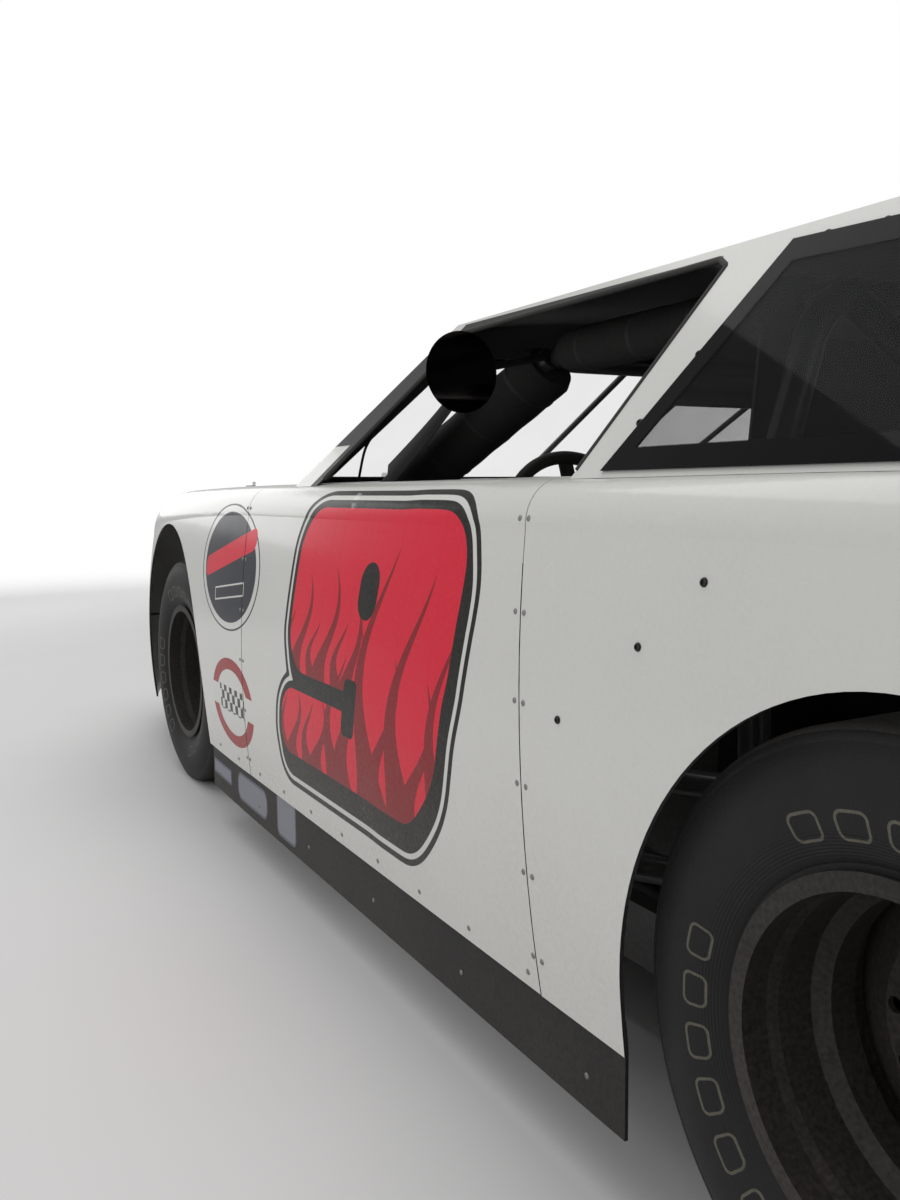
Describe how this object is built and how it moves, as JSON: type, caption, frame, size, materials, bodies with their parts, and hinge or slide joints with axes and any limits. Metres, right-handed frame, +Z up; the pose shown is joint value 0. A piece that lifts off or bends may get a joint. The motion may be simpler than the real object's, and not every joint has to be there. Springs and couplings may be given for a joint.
{
  "type": "stock car",
  "caption": "Full-bodied oval-track stock car: moulded panels over a perimeter frame and roll cage, slick tyres, hinged hood and deck lid, working steering.",
  "frame": {"origin": "on the floor, below the middle of the car's bounding box", "axes": "+X to the car's left, +Y to its tail, +Z up"},
  "size_m": [1.9714, 4.93, 1.25],
  "materials": {
    "white_gelcoat": "gloss white moulded body panels",
    "clear_pane": "clear plastic panes with a dark border",
    "black_plastic": "matt black plastic skirts and grille",
    "frame_paint": "satin dark paint on frame and cage tubes",
    "tin": "bare and painted sheet aluminium",
    "block_paint": "painted cast iron",
    "bare_alloy": "cast and machined alloy",
    "steel": "plain steel",
    "wheel_paint": "dark painted steel wheels",
    "tyre_rubber": "slick tyre rubber",
    "mirror_face": "convex mirror",
    "seat_paint": "black bent sheet seat",
    "grip": "wrapped wheel rim"
  },
  "bodies": {
    "chassis": {"frame_rails": "frame_paint", "roll_cage": "frame_paint", "cage_stays": "frame_paint", "bumper_bars": "frame_paint", "cabin_tin": "tin", "nose": "white_gelcoat", "grille": "black_plastic", "fender_left": "white_gelcoat", "fender_right": "white_gelcoat", "door_left": "white_gelcoat", "door_right": "white_gelcoat", "quarter_left": "white_gelcoat", "quarter_right": "white_gelcoat", "tail_cover": "white_gelcoat", "cowl_panels": "white_gelcoat", "skirts": "black_plastic", "roof_shell": "white_gelcoat", "windshield": "clear_pane", "rear_window": "clear_pane", "quarter_windows": "clear_pane", "windshield_straps": "frame_paint", "dash": "tin", "seat": "seat_paint", "engine": "block_paint", "radiator": "bare_alloy", "exhaust": "steel", "fuel_cell": "block_paint", "driveshaft": "steel", "rear_axle": "steel", "rear_links": "steel", "control_arms": "frame_paint", "coilovers": "steel", "spot_mirror": "mirror_face", "cabin_mirror": "mirror_face"},
    "hood": {"hood": "white_gelcoat"},
    "deck_lid": {"deck_lid": "white_gelcoat", "spoiler": "clear_pane"},
    "steering_wheel": {"steering_wheel": "grip"},
    "steering_rack": {"steering_rack": "steel"},
    "knuckle_left": {"knuckle_left": "steel"},
    "knuckle_right": {"knuckle_right": "steel"},
    "wheel_front_left": {"wheel_front_left": "wheel_paint", "tyre_front_left": "tyre_rubber", "hub_front_left": "steel"},
    "wheel_front_right": {"wheel_front_right": "wheel_paint", "tyre_front_right": "tyre_rubber", "hub_front_right": "steel"},
    "wheel_rear_left": {"wheel_rear_left": "wheel_paint", "tyre_rear_left": "tyre_rubber", "hub_rear_left": "steel"},
    "wheel_rear_right": {"wheel_rear_right": "wheel_paint", "tyre_rear_right": "tyre_rubber", "hub_rear_right": "steel"}
  },
  "joints": [
    {"name": "hood_hinge", "type": "hinge", "parent": "chassis", "child": "hood", "pos_m": [0, -0.652, 0.936], "axis": [-1, 0, 0], "range_deg": [0, 60]},
    {"name": "deck_lid_hinge", "type": "hinge", "parent": "chassis", "child": "deck_lid", "pos_m": [0, 1.802, 0.95], "axis": [1, 0, 0], "range_deg": [0, 55]},
    {"name": "steering_wheel_turn", "type": "hinge", "parent": "chassis", "child": "steering_wheel", "pos_m": [0.42, 0.06, 0.8], "axis": [0, 0.9397, 0.342], "range_deg": [-270, 270]},
    {"name": "rack_slide", "type": "slide", "parent": "chassis", "child": "steering_rack", "axis": [1, 0, 0], "range_m": [-0.0525, 0.0525]},
    {"name": "knuckle_left_steer", "type": "hinge", "parent": "chassis", "child": "knuckle_left", "pos_m": [0.61, -1.358, 0.343], "axis": [0, 0, 1], "range_deg": [-22, 22]},
    {"name": "knuckle_right_steer", "type": "hinge", "parent": "chassis", "child": "knuckle_right", "pos_m": [-0.61, -1.358, 0.343], "axis": [0, 0, 1], "range_deg": [-22, 22]},
    {"name": "wheel_front_left_spin", "type": "hinge", "parent": "knuckle_left", "child": "wheel_front_left", "pos_m": [0.78, -1.358, 0.343], "axis": [1, 0, 0], "continuous": true},
    {"name": "wheel_front_right_spin", "type": "hinge", "parent": "knuckle_right", "child": "wheel_front_right", "pos_m": [-0.78, -1.358, 0.343], "axis": [1, 0, 0], "continuous": true},
    {"name": "wheel_rear_left_spin", "type": "hinge", "parent": "chassis", "child": "wheel_rear_left", "pos_m": [0.81, 1.263, 0.343], "axis": [1, 0, 0], "continuous": true},
    {"name": "wheel_rear_right_spin", "type": "hinge", "parent": "chassis", "child": "wheel_rear_right", "pos_m": [-0.81, 1.263, 0.343], "axis": [1, 0, 0], "continuous": true}
  ],
  "couplings": [
    {"joint": "knuckle_right_steer", "follows": "knuckle_left_steer", "ratio": 1},
    {"joint": "rack_slide", "follows": "knuckle_left_steer", "m_per_rad": 0.13659},
    {"joint": "steering_wheel_turn", "follows": "knuckle_left_steer", "ratio": 12.2}
  ]
}
